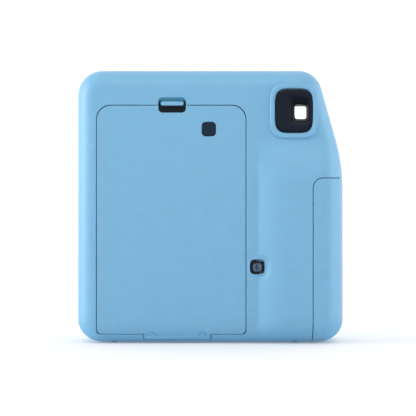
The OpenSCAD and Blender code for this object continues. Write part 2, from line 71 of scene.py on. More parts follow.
# ---------------------------------------------------------------- sizes, in millimetres
BACK = box_mm("back_cover")[0][1]
FRONT = box_mm("front_case")[1][1]
SIDE = box_mm("battery_cover")[1][0]
TOP = box_mm("rear_case")[1][2]
FOOT = box_mm("rear_case")[0][2]
SEAM = box_mm("rear_case")[1][1]
GAP = 0.15
EDGE = 8.5
QUARTER = EDGE * pi / 2
CORE_LOW = FOOT + EDGE
DOOR_LEFT = box_mm("back_cover")[0][0] - GAP
DOOR_RIGHT = box_mm("back_cover")[1][0] + GAP
DOOR_TOP = box_mm("back_cover")[1][2] + GAP
DOOR_LOW = 4.2
COVER_X = box_mm("battery_cover")[0][0] - GAP
COVER_Z = box_mm("battery_cover")[1][2] + GAP
COVER_R = 4.6
GRIP_H = 3.5
CREASE = 22.3
COUNTER = centre_xz("counter_window")
FINDER = centre_xz("eyepiece_panel")
OPENING = centre_xz("eyepiece_lens")
FILM_WINDOW = centre_xz("film_window")
DIAL = centre_xz("counter_dial")
BUTTON = centre_xz("shutter_button")
LENS = centre_xz("lens_barrel")
FLASH = centre_xz("flash_window")
SENSOR = centre_xz("sensor_window")
LATCH = np.array([centre_xz("door_latch")[0], DOOR_TOP + 0.1])
LATCH_W, LATCH_H, LATCH_R = 12.7, 7.0, 1.9
PIN = box_mm("door_hinge_pin")
HINGE_Y = (PIN[0][1] + PIN[1][1]) / 2
HINGE_Z = (PIN[0][2] + PIN[1][2]) / 2
TAB = (PIN[0][0] + 3.4, PIN[1][0] - 3.4)
HIP_R, HIP_TURN = 67.5, 15.8
HIP = np.array([SIDE - EDGE - HIP_R, 72.7])
SCREW_X, SCREW_Z = (-44, 8), 105.1
WALL = 1.6
RIM = 0.3

# arcs of the outline of the flat back and front: centre, radius, first and last angle
ARCS = [
    (np.array([SIDE - 10.5, FOOT + 10.5]), 2.0, -90, 0),
    (HIP, HIP_R, 0, HIP_TURN),
    (np.array([SIDE - 20.5, TOP - 11]), 2.5, HIP_TURN, 90),
    (np.array([11.5 - SIDE, TOP - 11.5]), 3.0, 90, 180),
    (np.array([10.5 - SIDE, FOOT + 10.5]), 2.0, 180, 270),
]


# ---------------------------------------------------------------- plane geometry
def unit(angle):
    return np.array([cos(radians(angle)), sin(radians(angle))])


def smooth(a, b, x):
    t = np.clip((x - a) / (b - a), 0, 1)
    return t * t * (3 - 2 * t)


def core(q):
    """Signed distance from the flat area's outline, and the outward normal there."""
    best = np.full(len(q), -1e9)
    normal = np.zeros((len(q), 2))

    def offer(ok, e, n):
        take = ok & (e > best)
        best[take] = e[take]
        normal[take] = n[take]

    for i, (c, r, a0, a1) in enumerate(ARCS):
        v = q - c
        d = np.maximum(np.hypot(v[:, 0], v[:, 1]), 1e-9)
        turn = (np.degrees(np.arctan2(v[:, 1], v[:, 0])) - a0 + 1e-7) % 360
        offer(turn <= a1 - a0 + 2e-7, d - r, v / d[:, None])
        c2, r2, b0, _ = ARCS[(i + 1) % len(ARCS)]
        p0 = c + r * unit(a1)
        p1 = c2 + r2 * unit(b0)
        length = np.linalg.norm(p1 - p0)
        along = (q - p0) @ ((p1 - p0) / length)
        n = np.broadcast_to(unit(a1), q.shape)
        offer((along >= -0.1) & (along <= length + 0.1), (q - p0) @ unit(a1), n)
    return best, normal


def spread(p):
    """From X and Z on the body to the unrolled plane, where the rounded edge keeps its real width."""
    p = np.asarray(p, float)
    d, n = core(p)
    out = np.clip(d, 0, EDGE * 0.9999)
    return p + n * (EDGE * np.arcsin(out / EDGE) - out)[:, None]


def lift(q, back=True):
    """From the unrolled plane to the body's surface: positions, normals and distance from the flat."""
    e, n = core(q)
    out = np.maximum(e, 0)
    a = np.minimum(out / EDGE, pi / 2)
    xz = q + n * (EDGE * np.sin(a) - out)[:, None]
    depth = EDGE * (1 - np.cos(a)) + np.maximum(out - QUARTER, 0)
    y = BACK + depth if back else FRONT - depth
    ny = -np.cos(a) if back else np.cos(a)
    pos = np.stack([xz[:, 0], y, xz[:, 1]], 1)
    normal = np.stack([n[:, 0] * np.sin(a), ny, n[:, 1] * np.sin(a)], 1)
    return pos, normal, e


def arc(c, r, a0, a1, n):
    return [np.array(c) + r * unit(a) for a in np.linspace(a0, a1, n + 1)]


def round_loop(c, w, h, r, n=8):
    c = np.array(c, float)
    x, z = w / 2 - r, h / 2 - r
    return np.array(
        arc(c + [x, -z], r, -90, 0, n) + arc(c + [x, z], r, 0, 90, n)
        + arc(c + [-x, z], r, 90, 180, n) + arc(c + [-x, -z], r, 180, 270, n)
    )


def super_loop(c, w, h, power, n=96):
    t = np.linspace(0, 2 * pi, n, endpoint=False)
    x = np.sign(np.cos(t)) * np.abs(np.cos(t)) ** (2 / power) * w / 2
    z = np.sign(np.sin(t)) * np.abs(np.sin(t)) ** (2 / power) * h / 2
    return np.array(c) + np.stack([x, z], 1)


def densify(loop, step):
    out = []
    for a, b in zip(loop, np.roll(loop, -1, 0)):
        n = max(1, int(np.ceil(np.linalg.norm(b - a) / step)))
        out += [a + (b - a) * k / n for k in range(n)]
    return np.array(out)


def inward(loop, d):
    """Moves each point of a loop to its left, which is where its material is."""
    t0 = loop - np.roll(loop, 1, 0)
    t1 = np.roll(loop, -1, 0) - loop
    t0 /= np.maximum(np.linalg.norm(t0, axis=1), 1e-9)[:, None]
    t1 /= np.maximum(np.linalg.norm(t1, axis=1), 1e-9)[:, None]
    left = np.stack([-t0[:, 1], t0[:, 0]], 1)
    n = left + np.stack([-t1[:, 1], t1[:, 0]], 1)
    n /= np.maximum(np.linalg.norm(n, axis=1), 1e-9)[:, None]
    return loop + n * (d / np.maximum((n * left).sum(1), 0.5))[:, None]


def in_pieces(q, task):
    return np.concatenate([task(q[i:i + 2000]) for i in range(0, len(q), 2000)])


def distance(q, loops):
    """Distance from each point to the nearest loop."""
    a = np.concatenate(loops)
    b = np.concatenate([np.roll(loop, -1, 0) for loop in loops])
    ab = b - a
    size = np.maximum((ab ** 2).sum(1), 1e-12)

    def task(part):
        v = part[:, None] - a
        t = np.clip((v * ab).sum(2) / size, 0, 1)
        return np.sqrt(((v - t[..., None] * ab) ** 2).sum(2)).min(1)

    return in_pieces(q, task)


def inside(q, loops):
    """Even-odd test, so that holes count as outside."""
    a = np.concatenate(loops)
    b = np.concatenate([np.roll(loop, -1, 0) for loop in loops])
    rise = np.where(b[:, 1] == a[:, 1], 1e-12, b[:, 1] - a[:, 1])

    def task(part):
        x, z = part[:, :1], part[:, 1:]
        spans = (a[:, 1] > z) != (b[:, 1] > z)
        return (spans & (x < a[:, 0] + (z - a[:, 1]) * (b[:, 0] - a[:, 0]) / rise)).sum(1) % 2 == 1

    return in_pieces(q, task)


# ---------------------------------------------------------------- mesh building
def add(name, verts, faces, body, material, slot, nodes=(), bevel=0, segments=3, crisp=40):
    """Makes a piece from points in millimetres and lets it ride on a body."""
    mesh = bpy.data.meshes.new(name)
    mesh.from_pydata([tuple(v) for v in np.asarray(verts) * MM], [], [tuple(f) for f in faces])
    mesh.validate()
    mesh.materials.append(material)
    mesh.shade_smooth()
    mesh.set_sharp_from_angle(angle=radians(crisp))
    obj = bpy.data.objects.new(name, mesh)
    bpy.context.collection.objects.link(obj)
    if bevel:
        mod = obj.modifiers.new("edges", "BEVEL")
        mod.width = bevel * MM
        mod.segments = segments
        mod.limit_method = "ANGLE"
        mod.angle_limit = radians(40)
        mod.harden_normals = True
    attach(obj, body)
    if nodes:
        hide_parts(*nodes)
    return obj


def sheet_mesh(outer, holes, seeds, place, rim, thickness, flip=False, calm=None):
    """Fills a region of the plane with triangles and lifts it to a shell with rounded rims."""
    loops = [outer] + [hole[::-1] for hole in holes]
    points, edges = [], []
    for loop in loops:
        for share in (0, 0.12, 0.4, 0.85, 1.3, 2.2):
            ring = inward(loop, share * rim) if share else loop
            first = len(points)
            points += list(ring)
            edges += [(first + i, first + (i + 1) % len(ring)) for i in range(len(ring))]
    seeds = seeds[inside(seeds, loops)]
    seeds = seeds[distance(seeds, loops) > rim * 3.2]
    points += list(seeds)
    result = delaunay_2d_cdt([Vector(p) for p in points], edges, [], 0, 1e-5)
    q = np.array([tuple(v) for v in result[0]])
    faces = np.array([f for f in result[2] if len(f) == 3])
    faces = faces[inside(q[faces].mean(1), loops)]
    a, b, c = q[faces[:, 0]], q[faces[:, 1]], q[faces[:, 2]]
    ab, ac = b - a, c - a
    area = ab[:, 0] * ac[:, 1] - ab[:, 1] * ac[:, 0]
    faces = faces[np.abs(area) > 1e-9]
    area = area[np.abs(area) > 1e-9]
    wrong = (area < 0) != flip
    faces[wrong] = faces[wrong][:, ::-1]
    pos, normal = place(q)[:2]
    d = np.minimum(distance(q, loops), rim)
    sink = rim - np.sqrt(np.maximum(rim ** 2 - (rim - d) ** 2, 0))
    if calm is not None:
        sink = np.where(calm(q), 0, sink)
    outside = pos - normal * sink[:, None]
    within = pos - normal * thickness
    count = len(q)
    sides = dict.fromkeys((f[i], f[(i + 1) % 3]) for f in faces for i in range(3))
    walls = [(j, i, i + count, j + count) for (i, j) in sides if (j, i) not in sides]
    shell = [tuple(f) for f in faces] + [tuple(f[::-1] + count) for f in faces] + walls
    return np.concatenate([outside, within]), shell


def loft(name, rings, body, material, slot, nodes=(), wrap=False, caps=(False, False), **more):
    """Joins rings of points, given outside first, into one surface."""
    n = len(rings[0])
    verts = np.concatenate(rings)
    faces = []
    for k in range(len(rings) if wrap else len(rings) - 1):
        p, q = k * n, (k + 1) % len(rings) * n
        faces += [(p + i, q + i, q + (i + 1) % n, p + (i + 1) % n) for i in range(n)]
    if caps[0]:
        faces.append(tuple(range(n)))
    if caps[1]:
        faces.append(tuple(range(len(rings) * n - 1, (len(rings) - 1) * n - 1, -1)))
    return add(name, verts, faces, body, material, slot, nodes, **more)


def at_y(loop, y):
    return np.stack([loop[:, 0], np.full(len(loop), y), loop[:, 1]], 1)


def turned(name, c, profile, body, material, slot, nodes=(), wrap=True, n=128, **more):
    """Solid of revolution about a line along Y; the profile is (radius, y)."""
    t = np.linspace(0, 2 * pi, n, endpoint=False)
    circle = np.stack([np.cos(t), np.sin(t)], 1)
    rings = [at_y(np.array(c) + circle * max(r, 1e-4), y) for r, y in profile]
    return loft(name, rings, body, material, slot, nodes, wrap=wrap, **more)


def slab(name, outline, y0, y1, body, material, slot, nodes=(), bevel=0.2, **more):
    """A plate from y0 to y1 with bevelled edges."""
    loop = np.array(outline, float)
    n = len(loop)
    verts = np.concatenate([at_y(loop, y0), at_y(loop, y1)])
    faces = [tuple(range(n)), tuple(range(2 * n - 1, n - 1, -1))]
    faces += [((i + 1) % n, i, i + n, (i + 1) % n + n) for i in range(n)]
    return add(name, verts, faces, body, material, slot, nodes, bevel=bevel, **more)


def rod_x(name, y, z, r, x0, x1, body, material, slot, nodes=(), n=40, soft=0.2):
    t = np.linspace(0, 2 * pi, n, endpoint=False)
    rings = []
    for x, q in [(x0, r - soft), (x0 + soft * 0.3, r - soft * 0.3), (x0 + soft, r),
                 (x1 - soft, r), (x1 - soft * 0.3, r - soft * 0.3), (x1, r - soft)]:
        rings.append(np.stack([np.full(n, x), y + q * np.cos(t), z + q * np.sin(t)], 1))
    return loft(name, rings, body, material, slot, nodes, caps=(True, True))


# ---------------------------------------------------------------- materials
def finish(name, colour, rough, metal=0.0, mottle=0.03, patch=240, grain=4200, relief=0.25, vary=0.04,
           coat=0.0, glass=0.0, ior=1.5, streak=None):
    """Principled surface with a fine moulded grain, slight tone patches and uneven roughness."""
    mat = bpy.data.materials.new(name)
    mat.use_nodes = True
    tree = mat.node_tree
    shader = tree.nodes["Principled BSDF"]
    shader.inputs["Metallic"].default_value = metal
    shader.inputs["IOR"].default_value = ior
    shader.inputs["Coat Weight"].default_value = coat
    shader.inputs["Coat Roughness"].default_value = 0.12
    shader.inputs["Transmission Weight"].default_value = glass
    place = tree.nodes.new("ShaderNodeTexCoord")
    scale = tree.nodes.new("ShaderNodeMapping")
    scale.inputs["Scale"].default_value = streak or (1, 1, 1)
    tree.links.new(place.outputs["Object"], scale.inputs["Vector"])
    tone = tree.nodes.new("ShaderNodeTexNoise")
    tone.inputs["Scale"].default_value = patch
    tone.inputs["Detail"].default_value = 4
    tree.links.new(scale.outputs["Vector"], tone.inputs["Vector"])
    ramp = tree.nodes.new("ShaderNodeValToRGB")
    ramp.color_ramp.elements[0].position = 0.3
    ramp.color_ramp.elements[1].position = 0.7
    ramp.color_ramp.elements[0].color = [max(c * (1 - mottle), 0) for c in colour] + [1]
    ramp.color_ramp.elements[1].color = [min(c * (1 + mottle), 1) for c in colour] + [1]
    tree.links.new(tone.outputs["Fac"], ramp.inputs["Fac"])
    tree.links.new(ramp.outputs["Color"], shader.inputs["Base Color"])
    spread_node = tree.nodes.new("ShaderNodeMapRange")
    spread_node.inputs["To Min"].default_value = max(rough - vary, 0.01)
    spread_node.inputs["To Max"].default_value = rough + vary
    tree.links.new(tone.outputs["Fac"], spread_node.inputs["Value"])
    tree.links.new(spread_node.outputs["Result"], shader.inputs["Roughness"])
    fine = tree.nodes.new("ShaderNodeTexNoise")
    fine.inputs["Scale"].default_value = grain
    fine.inputs["Detail"].default_value = 3
    tree.links.new(scale.outputs["Vector"], fine.inputs["Vector"])
    bump = tree.nodes.new("ShaderNodeBump")
    bump.inputs["Strength"].default_value = relief
    bump.inputs["Distance"].default_value = 0.00002
    tree.links.new(fine.outputs["Fac"], bump.inputs["Height"])
    tree.links.new(bump.outputs["Normal"], shader.inputs["Normal"])
    return mat


BLUE = (0.196, 0.458, 0.694)
shell_blue = finish("shell_blue", BLUE, 0.4, mottle=0.02, relief=0.3)
shell_shader = shell_blue.node_tree.nodes["Principled BSDF"].inputs
shell_shader["Sheen Weight"].default_value = 0.14
shell_shader["Sheen Roughness"].default_value = 0.4
# The latch recess is the shell's own plastic, painted a lighter, more saturated blue than the shell: painted
# light standing in for the light the recess catches.
recess_painted_light = finish("recess_painted_light_blue", (0.22, 0.72, 0.95), 0.5)
navy = finish("navy_gloss", (0.002, 0.007, 0.019), 0.2, relief=0.05)
black = finish("black_plastic", (0.012, 0.013, 0.016), 0.5, mottle=0.12, relief=0.5)
matt_navy = finish("dial_navy", (0.004, 0.01, 0.024), 0.6)
jet = finish("black_gloss", (0.001, 0.0015, 0.003), 0.4, relief=0.1)
white = finish("white_plastic", (0.78, 0.80, 0.82), 0.38, mottle=0.015)
pale = finish("pale_blue_plastic", (0.50, 0.68, 0.84), 0.36, mottle=0.02)
acetal = finish("gear_plastic", (0.80, 0.79, 0.73), 0.32, mottle=0.04)
clear = finish("clear_glass", (0.96, 0.98, 1.0), 0.02, vary=0.01, mottle=0.0, relief=0.0, glass=1.0)
smoked = finish("smoked_window", (0.005, 0.02, 0.045), 0.1, vary=0.02, relief=0.02)
tinted = finish("tinted_glass", (0.45, 0.56, 0.68), 0.02, vary=0.01, mottle=0.0, relief=0.0, glass=1.0,
                ior=1.3)
frosted = finish("diffuser", (0.92, 0.94, 0.97), 0.22, glass=0.7, grain=900, relief=0.5)
mirror = finish("mirror", (0.92, 0.93, 0.94), 0.05, metal=1.0, vary=0.02, relief=0.02)
steel = finish("steel", (0.56, 0.57, 0.59), 0.28, metal=1.0, mottle=0.08, streak=(1, 1, 12), relief=0.3)
brass = finish("brass", (0.70, 0.50, 0.20), 0.25, metal=1.0, mottle=0.08)
wrap = finish("cell_wrap", (0.50, 0.29, 0.08), 0.25, mottle=0.05, coat=0.3)
board = finish("board_green", (0.03, 0.16, 0.08), 0.4, mottle=0.25, patch=900, grain=1600)
sleeve = finish("capacitor_sleeve", (0.03, 0.05, 0.12), 0.25, coat=0.2)
paper = finish("counter_paper", (0.75, 0.80, 0.86), 0.5, mottle=0.05)
ink = finish("counter_ink", (0.006, 0.012, 0.03), 0.6, mottle=0.1)

BY_SLOT = {
    "shell_blue": shell_blue, "navy_gloss": navy, "black_plastic": black, "white_plastic": white,
    "pale_blue_plastic": pale, "gear_plastic": acetal, "clear_glass": clear, "smoked_window": smoked,
    "diffuser": frosted, "mirror": mirror, "steel": steel, "brass": brass, "cell_wrap": wrap,
    "board_green": board, "capacitor_sleeve": sleeve,
}
for part in frame["record"]["subparts"]:
    mesh = NODES[part["node"]].data
    mesh.materials.clear()
    mesh.materials.append(BY_SLOT[part["material_slot"]])

# ---------------------------------------------------------------- shells of the body
ROWS = np.linspace(0, QUARTER, 14)


def rows_to(e_max):
    return np.concatenate([ROWS, np.linspace(QUARTER, e_max, 2 + int((e_max - QUARTER) / 4))[1:]])


def run(arcs, step=4.0):
    """Feet and normals along the flat's outline, through these arcs and the straights between them."""
    feet, normals = [], []
    for i, (c, r, a0, a1) in enumerate(arcs):
        for a in np.linspace(a0, a1, 1 + int(np.ceil((a1 - a0) / 7.5))):
            feet.append(c + r * unit(a))
            normals.append(unit(a))
        if i + 1 < len(arcs):
            c2, r2, b0, _ = arcs[i + 1]
            end = c2 + r2 * unit(b0)
            n = int(np.ceil(np.linalg.norm(end - feet[-1]) / step))
            start = feet[-1]
            feet += [start + (end - start) * k / n for k in range(1, n)]
            normals += [unit(a1)] * (n - 1)
    return np.array(feet), np.array(normals)


def cover_cut(g, e_max):
    """The battery cover's edge in the unrolled plane, from the bottom seam to the right-hand one."""
    x, z = COVER_X + g, COVER_Z - g
    c = np.array([COVER_X + COVER_R, COVER_Z - COVER_R])
    rows = rows_to(e_max)
    out = [(x, CORE_LOW - e) for e in rows[::-1]]
    out += [(x, v) for v in np.arange(CORE_LOW + 3, c[1] - 1, 3)]
    out += arc(c, COVER_R - g, 180, 90, 8)
    for e in rows:
        a = asin((z - HIP[1]) / (HIP_R + EDGE * sin(min(e / EDGE, pi / 2))))
        out.append(HIP + (HIP_R + e) * np.array([cos(a), sin(a)]))
    return np.array([tuple(p) for p in out])


def case_loop(e_max):
    cut = cover_cut(-GAP, e_max)
    high = degrees(asin((COVER_Z + GAP - HIP[1]) / (HIP_R + EDGE)))
    stop = (np.array([COVER_X - GAP, CORE_LOW]), 0.0, 270, 270)
    feet, normals = run([(HIP, HIP_R, high, HIP_TURN)] + ARCS[2:] + [stop])
    return np.concatenate([feet + normals * e_max, cut[1:-1]])


def cover_loop(e_max):
    cut = cover_cut(GAP, e_max)
    high = degrees(asin((COVER_Z - GAP - HIP[1]) / (HIP_R + EDGE)))
    start = (np.array([COVER_X + GAP, CORE_LOW]), 0.0, -90, -90)
    feet, normals = run([start, ARCS[0], (HIP, HIP_R, 0, high)])
    return np.concatenate([feet + normals * e_max, cut[::-1][1:-1]])


def notch(top, up):
    """The thumb latch's recess, followed from right to left."""
    x, r = LATCH_W / 2, LATCH_R
    if up:
        z = LATCH[1] + LATCH_H / 2 - r
        return ([np.array([LATCH[0] + x, top])] + arc([LATCH[0] + x - r, z], r, 0, 90, 6)
                + arc([LATCH[0] - x + r, z], r, 90, 180, 6) + [np.array([LATCH[0] - x, top])])
    z = LATCH[1] - LATCH_H / 2 + r
    return ([np.array([LATCH[0] + x, top])] + arc([LATCH[0] + x - r, z], r, 0, -90, 6)
            + arc([LATCH[0] - x + r, z], r, 270, 180, 6) + [np.array([LATCH[0] - x, top])])


def door_loop(g, side_gap, depth):
    """The film door's edge on the body, with the latch recess and the hinge tab."""
    left, right, low, top = DOOR_LEFT + g, DOOR_RIGHT - g, DOOR_LOW + g, DOOR_TOP - g
    r = 2.2 if g > 0 else 1.5
    tab = [(TAB[0] - side_gap, low), (TAB[0] - side_gap, depth), (TAB[1] + side_gap, depth),
           (TAB[1] + side_gap, low)]
    points = (
        arc([left + r, low + r], r, 180, 270, 5) + [np.array(p) for p in tab]
        + arc([right - r, low + r], r, -90, 0, 5) + arc([right - 6.5, top - 6.5], 6.5, 0, 90, 12)
        + notch(top, g < 0) + arc([left + 6.5, top - 6.5], 6.5, 90, 180, 12)
    )
    return densify(spread(np.array(points)), 3.0)


def grip_height(q, e):
    """Rise of the thumb grip, with the notch round the counter window."""
    away = np.abs(q - COUNTER)
    ring = (away[:, 0] ** 3 + away[:, 1] ** 3) ** (1 / 3) - 4.0
    u = np.clip((q[:, 0] - CREASE) / 13, 0, 1)
    fade = (1 - smooth(76, 97, q[:, 1])) * (1 - smooth(-3, 12.5, e)) * smooth(0, 2.2, ring)
    return GRIP_H * (1 - (1 - u) ** 2) * fade


def rear_surface(q):
    pos, normal, e = lift(q)
    pos[:, 1] -= grip_height(q, e)
    return pos, normal, e


def front_surface(q):
    return lift(q, back=False)


def grid(x0, x1, z0, z1, sx, sz):
    x, z = np.meshgrid(np.arange(x0, x1, sx), np.arange(z0, z1, sz))
    shift = (np.arange(x.shape[0]) % 2 * sx / 2)[:, None]
    return np.stack([(x + shift).ravel(), z.ravel()], 1)


def shell_seeds(e_max, fine):
    feet, normals = run(ARCS + ARCS[:1])
    parts = [feet + normals * e for e in rows_to(e_max)[:-1]]
    flat = grid(-60, 62, 5, 125, 4, 3.5)
    parts.append(flat[core(flat)[0] < -1.2])
    if fine:
        for x in (-0.6, 0, 0.45):
            z = np.arange(CORE_LOW, 98, 1.4)
            parts.append(np.stack([np.full(len(z), CREASE + x), z], 1))
        slope = grid(CREASE + 1.4, 54, 8, 98, 1.3, 2.2)
        parts.append(slope[core(slope)[0] < -0.6])
        for e in ROWS[:-1]:
            x = np.arange(CREASE + 0.4, 51, 1.3)
            parts.append(np.stack([x, np.full(len(x), CORE_LOW - e)], 1))
        parts.append(grid(COUNTER[0] - 5, COUNTER[0] + 13, COUNTER[1] - 11, COUNTER[1] + 11, 0.55, 0.55))
    return np.concatenate(parts)


REAR_E = QUARTER + SEAM - BACK - EDGE
FRONT_E = QUARTER + FRONT - SEAM - EDGE

slot_x = (box_mm("film_exit_trim")[0][0] - 0.1, box_mm("film_exit_trim")[1][0] + 0.1)
slot_y = (-7.6, 1.6)
slot_e = [QUARTER + y - BACK - EDGE for y in slot_y]
core_top = TOP - EDGE
slot_c = [sum(slot_x) / 2, core_top + sum(slot_e) / 2]
slot_loop = densify(round_loop(slot_c, slot_x[1] - slot_x[0], slot_e[1] - slot_e[0], 0.8, 4), 4)

verts, faces = sheet_mesh(
    case_loop(REAR_E),
    [door_loop(-GAP, 0.3, CORE_LOW - EDGE * sin(radians(65.2))),
     super_loop(FINDER, 18.4, 21.3, 4.2), round_loop(COUNTER, 6.8, 6.9, 2), slot_loop],
    shell_seeds(REAR_E, True), rear_surface, RIM, WALL)
add("rear_shell", verts, faces, "body", shell_blue, "shell_blue", ["rear_case"])

holes = [
    round_loop(LENS, 50.4, 50.4, 25.2, 24), round_loop(BUTTON, 14.6, 14.6, 7.3, 12),
    densify(round_loop(FLASH, 27, 15, 3), 3), round_loop(SENSOR, 10, 6, 2.9),
    densify(round_loop(OPENING, 13, 12, 2), 3),
]
verts, faces = sheet_mesh(
    case_loop(FRONT_E), holes, shell_seeds(FRONT_E, False), front_surface, RIM, WALL, flip=True)
add("front_shell", verts, faces, "body", shell_blue, "shell_blue", ["front_case"])


def on_seam(e_max):
    return lambda q: core(q)[0] > e_max - 0.5


rear = sheet_mesh(cover_loop(REAR_E), [], shell_seeds(REAR_E, True), rear_surface, RIM, WALL,
                  calm=on_seam(REAR_E))
ahead = sheet_mesh(cover_loop(FRONT_E), [], shell_seeds(FRONT_E, False), front_surface, RIM, WALL,
                   flip=True, calm=on_seam(FRONT_E))
shift = len(rear[0])
cover = add("battery_cover_shell", np.concatenate([rear[0], ahead[0]]),
            rear[1] + [tuple(i + shift for i in f) for f in ahead[1]],
            "battery_cover", shell_blue, "shell_blue", ["battery_cover"])
weld = cover.modifiers.new("seam", "WELD")
weld.merge_threshold = 0.00002

# ---------------------------------------------------------------- film door
ARCHES = [(-27.0, 2.0), (-3.6, 1.6)]


def door_surface(q):
    pos, normal, e = lift(q)
    for x, half in ARCHES:
        v = (q - [x, 3.0]) / [half, 1.9]
        off = np.abs(np.hypot(v[:, 0], v[:, 1]) - 1) * 1.8
        pos[:, 1] += 0.5 * np.exp(-(off / 0.28) ** 2) * (q[:, 1] > 3.0)
    return pos, normal, e


door_seeds = [shell_seeds(REAR_E, False)]
door_seeds += [grid(x - half - 1, x + half + 1, 2.4, 6, 0.25, 0.25) for x, half in ARCHES]
verts, faces = sheet_mesh(
    door_loop(GAP, 0.0, CORE_LOW - EDGE * sin(radians(63.2))), [round_loop(FILM_WINDOW, 6.6, 6.7, 1.9)],
    np.concatenate(door_seeds), door_surface, RIM, WALL)
add("door_skin", verts, faces, "back_cover", shell_blue, "shell_blue", ["back_cover"])
rod_x("door_knuckle", HINGE_Y, HINGE_Z, 1.65, TAB[0] + 0.1, TAB[1] - 0.1, "back_cover", shell_blue,
      "shell_blue")
for i, x in enumerate([TAB[0] - 1.9, TAB[1] + 1.9]):
    rod_x(f"hinge_boss_{i + 1}", HINGE_Y, HINGE_Z, 1.15, x - 1.4, x + 1.4, "body", shell_blue, "shell_blue")

left, right, top = DOOR_LEFT, DOOR_RIGHT, DOOR_TOP
slab("door_ledge", [
    (left - 2, 9), (left + 2, 9), (left + 2, top - 2.4), (right - 2.2, top - 2.4), (right - 2.2, 9),
    (right + 1.8, 9), (right + 1.8, top + 2), (left - 2, top + 2)],
    BACK + 2.25, BACK + 3.9, "body", black, "black_plastic", bevel=0.25)

# thumb latch
lx, lz = LATCH
well = [(lx + 8.5, top - 2.2), (lx + 8.5, lz + 5.5), (lx - 8.5, lz + 5.5), (lx - 8.5, top - 2.2),
        (lx - 6.35, top - 2.2)]
well += arc([lx - 4.45, lz + 1.6], 1.9, 180, 90, 6) + arc([lx + 4.45, lz + 1.6], 1.9, 90, 0, 6)
well += [(lx + 6.35, top - 2.2)]
# The recess walls and back wear the brighter painted-light blue, not the shell's own colour.
slab("latch_well", [tuple(p) for p in well], BACK + 1.5, BACK + 3.7, "body", recess_painted_light, "shell_blue",
     bevel=0.1)
slab("latch_well_back", round_loop([lx, lz + 1.6], 17, 7.8, 0.6), BACK + 3.6, BACK + 4.8, "body", recess_painted_light,
     "shell_blue", bevel=0.2)
slab("latch_guide", round_loop([lx, lz - 1.95], 12.5, 3.3, 0.9), BACK + 2.1, BACK + 2.24, "back_cover", navy,
     "navy_gloss", bevel=0.05)
pad_z = box_mm("door_latch")[1][2] - 1.425
slab("latch_pad", round_loop([lx, pad_z + 0.45], 10.7, 1.95, 0.9), BACK + 0.3, BACK + 2.05, "door_latch",
     shell_blue, "shell_blue", ["door_latch"], bevel=0.45, segments=5)
# A navy strip over the lower part of the latch pad: painted shade under the pad, not a part of the latch's
# own colour.
slab("latch_painted_shade_strip", round_loop([lx, pad_z - 0.975], 10.7, 0.9, 0.4), BACK + 0.7, BACK + 2.05, "door_latch",
     navy, "navy_gloss", bevel=0.15)
slab("latch_arm", round_loop([lx, 106.5], 6, 7.2, 0.5), BACK + 2.3, BACK + 3.4, "door_latch", shell_blue,
     "shell_blue", bevel=0.2)
slab("latch_hook", round_loop([lx, 103.55], 12, 2.1, 0.5), BACK + 2.4, BACK + 3.4, "door_latch", shell_blue,
     "shell_blue", bevel=0.2)

# case screw posts and the collar that guides the shutter button
def tube(name, c, bore, radius, y0, y1, n):
    profile = [(bore, y0), (radius, y0), (radius, y1), (bore, y1)]
    turned(name, c, profile, "body", shell_blue, "shell_blue", n=n)


for i, x in enumerate(SCREW_X):
    tube(f"screw_post_{i + 1}", (x, SCREW_Z), 0.95, 2.0, BACK + 4.1, FRONT - 1.5, 48)
    tube(f"screw_boss_{i + 1}", (x, SCREW_Z), 0.95, 2.4, BACK + 2.3, BACK + 3.9, 48)
tube("button_collar", BUTTON, 7.3, 9.4, FRONT - 6, FRONT - 1.5, 64)


# coil springs for the latch and the shutter button, fixed in shape
def coil_spring(name, node, body, axis, wire, turns):
    """Closed-end compression spring in the space of its CAD node."""
    lo, hi = box_mm(node)
    length = hi[axis] - lo[axis]
    across = [k for k in range(3) if k != axis]
    mean = (hi[across[0]] - lo[across[0]]) / 2 - wire
    t = np.linspace(0, turns, int(turns * 22))
    up = np.zeros(3)
    up[axis] = 1
    u, v = np.eye(3)[across[0]], np.eye(3)[across[1]]
    middle = (lo + hi) / 2
    middle[axis] = lo[axis]
    rise = wire + (length - 2 * wire) * np.clip((t - 0.5) / (turns - 1), 0, 1)
    out = np.cos(2 * pi * t)[:, None] * u + np.sin(2 * pi * t)[:, None] * v
    path = middle + mean * out + rise[:, None] * up
    along = np.gradient(path, axis=0)
    along /= np.linalg.norm(along, axis=1)[:, None]
    side = np.cross(along, out)
    phi = np.linspace(0, 2 * pi, 10, endpoint=False)
    rings = [p + wire * (np.cos(phi)[:, None] * o - np.sin(phi)[:, None] * d)
             for p, o, d in zip(path, out, side)]
    spring = loft(name, rings, body, steel, "steel", [node], caps=(True, True))
    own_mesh(spring)


coil_spring("latch_spring_coil", "latch_spring", "back_cover", 2, 0.2, 6)
coil_spring("button_spring_coil", "button_spring", "body", 1, 0.25, 5)

# film window: a tinted plate below the door's surface
slab("film_window_pane", round_loop(FILM_WINDOW, 6.5, 6.6, 1.85), BACK + 0.4, BACK + 1.4, "back_cover",
     smoked, "smoked_window", ["film_window"], bevel=0.2)

# ---------------------------------------------------------------- viewfinder
ring = []
for inset, y in [(0, 1.6), (0, -0.75), (0.08, -1.12), (0.28, -1.36), (0.55, -1.47), (0.9, -1.5), (1.6, -1.5),
                 (1.75, -1.47), (1.9, -1.38), (2.0, -1.22), (2.34, -0.75), (2.34, 1.6)]:
    ring.append(at_y(super_loop(FINDER, 22.2 - 2 * inset, 25.1 - 2 * inset, 4.2), BACK + y))
loft("viewfinder_ring", ring, "body", shell_blue, "shell_blue", wrap=True)

hole = OPENING + [-0.1, 0.25]


def frame_loop(grow, n=96):
    return super_loop(hole, 8.8 + grow, 10.75 + grow, 4.5, n)


